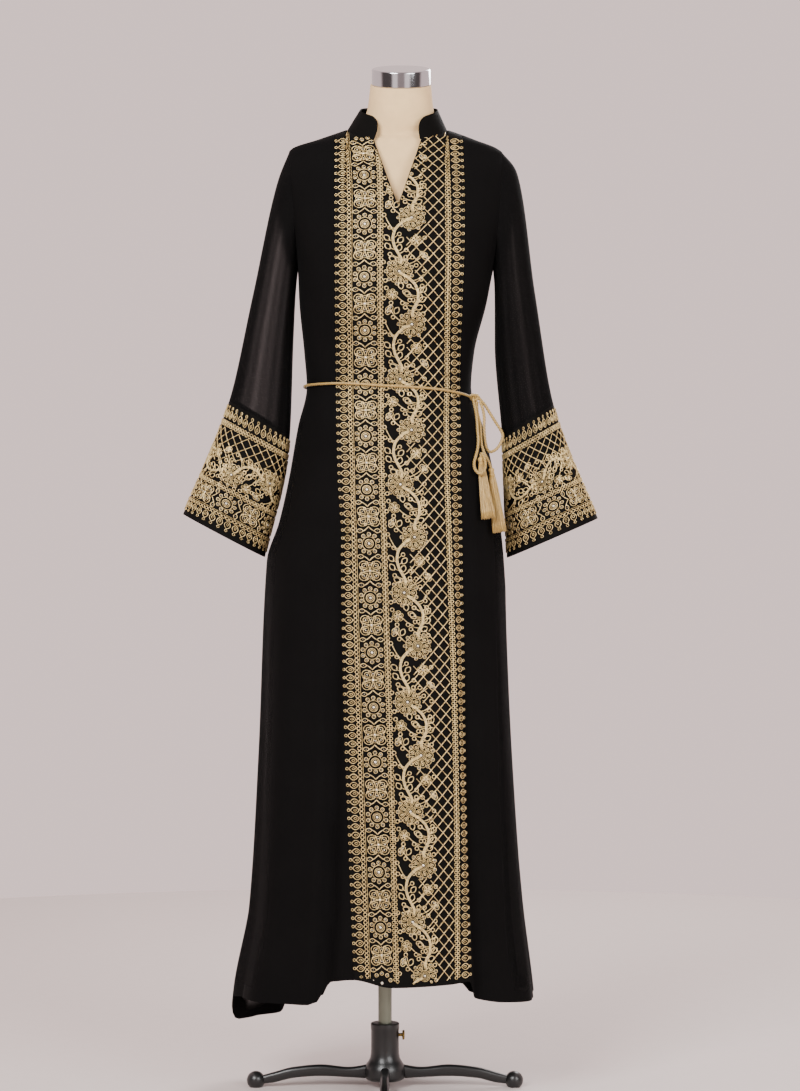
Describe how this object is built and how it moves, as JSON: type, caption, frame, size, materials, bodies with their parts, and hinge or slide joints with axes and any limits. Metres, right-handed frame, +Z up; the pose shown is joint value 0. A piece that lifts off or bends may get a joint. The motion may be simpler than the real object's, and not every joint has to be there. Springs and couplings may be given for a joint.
{
  "type": "jalabiya on a dress form",
  "caption": "Long black jalabiya with an embroidered front and cuffs and a tasselled cord belt, on a limbless dress form and its cast iron stand.",
  "frame": {"origin": "on the floor, under the middle of the object's outline", "axes": "+Z up, +X to the viewer's right as the front is seen, -Y towards the viewer, out of the garment's front"},
  "size_m": [0.6873, 0.4552, 1.6918],
  "materials": {
    "chiffon": "matte",
    "lining": "matte",
    "collar": "matte",
    "embroidery": "satin",
    "satin_cord": "satin",
    "linen": "matte",
    "chrome": "polished",
    "pole_paint": "satin",
    "cast_iron": "satin",
    "brass": "satin"
  },
  "bodies": {
    "base": {"base": "cast_iron", "ball_foot_1": "cast_iron", "ball_foot_2": "cast_iron", "ball_foot_3": "cast_iron", "ball_foot_4": "cast_iron"},
    "screw": {"clamp_screw": "brass"},
    "pole": {"pole": "pole_paint"},
    "form": {"form": "linen", "neck_cap": "chrome", "front_panel": "embroidery", "front_left": "chiffon", "front_right": "chiffon", "back": "chiffon", "lining": "lining", "collar": "collar", "sleeve_left": "chiffon", "sleeve_right": "chiffon", "cuff_left": "embroidery", "cuff_right": "embroidery", "belt_ring": "satin_cord", "belt_knot": "satin_cord", "belt_bow": "satin_cord", "belt_end_1": "satin_cord", "belt_end_2": "satin_cord", "tassel_1": "satin_cord", "tassel_2": "satin_cord"}
  },
  "joints": [
    {"name": "clamp_turn", "type": "hinge", "parent": "base", "child": "screw", "pos_m": [0.02, 0, 0.086], "axis": [1, 0, 0], "continuous": true},
    {"name": "pole_height", "type": "slide", "parent": "base", "child": "pole", "axis": [0, 0, 1], "range_m": [-0.03, 0.045]},
    {"name": "swivel", "type": "hinge", "parent": "pole", "child": "form", "pos_m": [-0.009, 0, 0.9], "axis": [0, 0, 1], "continuous": true}
  ]
}
